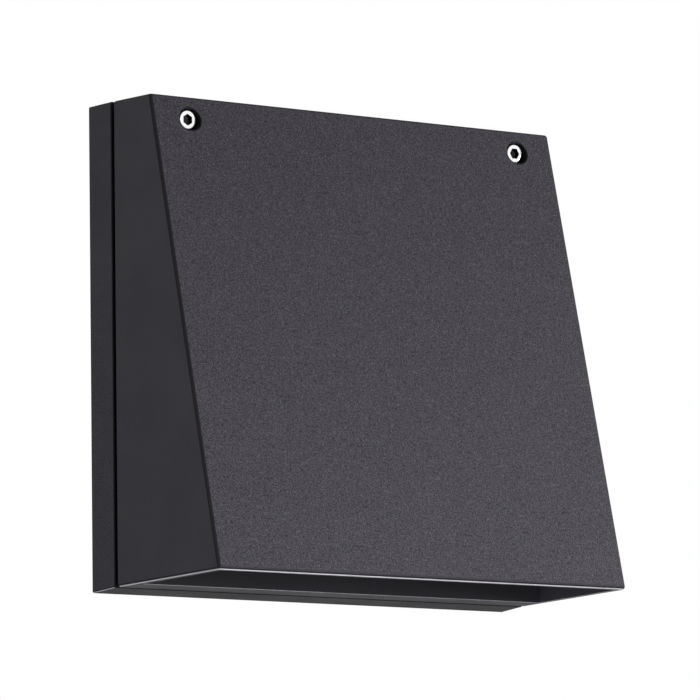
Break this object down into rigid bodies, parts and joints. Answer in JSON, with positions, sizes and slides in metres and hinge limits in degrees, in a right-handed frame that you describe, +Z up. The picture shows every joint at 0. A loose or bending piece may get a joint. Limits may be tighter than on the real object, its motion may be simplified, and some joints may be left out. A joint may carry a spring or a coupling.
{
  "type": "shielded wall light",
  "caption": "Wedge-shaped wall light that shines only downwards: a cast box on the wall and a tilting cast housing held closed by captive screws.",
  "frame": {"origin": "middle of the back plate face that lies against the wall", "axes": "+Z up, +X to the right as seen from the front, the light stands out from the wall along -Y"},
  "size_m": [0.263, 0.1094, 0.2517],
  "materials": {
    "graphite_coat": "fine-texture powder coat",
    "stainless_steel": "turned and brushed",
    "silicone_black": "matt silicone",
    "rubber_black": "matt rubber",
    "grey_plastic": "moulded",
    "white_plastic": "moulded",
    "brass_metal": "machined",
    "red_insulation": "extruded insulation",
    "blue_insulation": "extruded insulation",
    "brown_insulation": "extruded insulation",
    "black_insulation": "extruded insulation",
    "green_yellow_insulation": "green and yellow extruded insulation",
    "clear_glass": "toughened, finely textured",
    "white_board": "white solder resist on aluminium",
    "led_phosphor": "phosphor",
    "bright_aluminium": "bright anodised",
    "thermal_pad_grey": "soft pad",
    "potting_black": "cast resin"
  },
  "bodies": {
    "wall_side": {"wall_box": "graphite_coat", "cable_grommet": "rubber_black", "blind_grommet": "rubber_black", "fixing_hole_seals": "rubber_black", "terminal_block": "white_plastic", "terminal_clamp_screws": "stainless_steel", "terminal_fixing_screws": "stainless_steel", "earth_stud": "brass_metal", "earth_washer": "stainless_steel", "earth_nut": "brass_metal", "connector_socket": "grey_plastic", "connector_pins": "brass_metal", "supply_lead_live": "brown_insulation", "supply_lead_neutral": "blue_insulation", "supply_lead_earth": "green_yellow_insulation", "thread_insert_left": "stainless_steel", "thread_insert_right": "stainless_steel", "hinge_hook_left": "stainless_steel", "hinge_hook_right": "stainless_steel"},
    "housing": {"front_housing": "graphite_coat", "housing_gasket": "silicone_black", "safety_glass": "clear_glass", "glass_gasket": "silicone_black", "glass_frame": "graphite_coat", "glass_frame_screws": "stainless_steel", "thermal_pad": "thermal_pad_grey", "led_board": "white_board", "led_chips": "led_phosphor", "led_board_screws": "stainless_steel", "board_connector": "white_plastic", "reflector": "bright_aluminium", "driver_case": "white_plastic", "driver_lid": "white_plastic", "driver_circuit_board": "black_insulation", "driver_potting": "potting_black", "driver_screws": "stainless_steel", "web_grommet": "rubber_black", "board_lead_positive": "red_insulation", "board_lead_negative": "black_insulation", "connector_plug": "grey_plastic", "driver_input_lead_live": "brown_insulation", "driver_input_lead_neutral": "blue_insulation", "housing_earth_lead": "green_yellow_insulation", "housing_earth_washer": "stainless_steel", "housing_earth_screw": "stainless_steel", "hinge_pin_left": "stainless_steel", "hinge_pin_right": "stainless_steel"},
    "screw_carrier_left": {"sealing_washer_left": "rubber_black", "retaining_ring_left": "stainless_steel"},
    "screw_left": {"captive_screw_left": "stainless_steel"},
    "screw_carrier_right": {"sealing_washer_right": "rubber_black", "retaining_ring_right": "stainless_steel"},
    "screw_right": {"captive_screw_right": "stainless_steel"}
  },
  "joints": [
    {"name": "housing_tilt", "type": "hinge", "parent": "wall_side", "child": "housing", "pos_m": [0, -0.0224, -0.12085], "axis": [1, 0, 0], "range_deg": [0, 30]},
    {"name": "screw_slide_left", "type": "slide", "parent": "housing", "child": "screw_carrier_left", "axis": [0, -1, 0], "range_m": [0, 0.007]},
    {"name": "screw_turn_left", "type": "hinge", "parent": "screw_carrier_left", "child": "screw_left", "pos_m": [-0.105, -0.05, 0.1124], "axis": [0, -1, 0], "range_deg": [0, 2560]},
    {"name": "screw_slide_right", "type": "slide", "parent": "housing", "child": "screw_carrier_right", "axis": [0, -1, 0], "range_m": [0, 0.007]},
    {"name": "screw_turn_right", "type": "hinge", "parent": "screw_carrier_right", "child": "screw_right", "pos_m": [0.105, -0.05, 0.1124], "axis": [0, -1, 0], "range_deg": [0, 2560]}
  ],
  "couplings": [
    {"joint": "screw_turn_left", "follows": "screw_slide_left", "rad_per_m": 6283.2},
    {"joint": "screw_turn_right", "follows": "screw_slide_right", "rad_per_m": 6283.2}
  ]
}
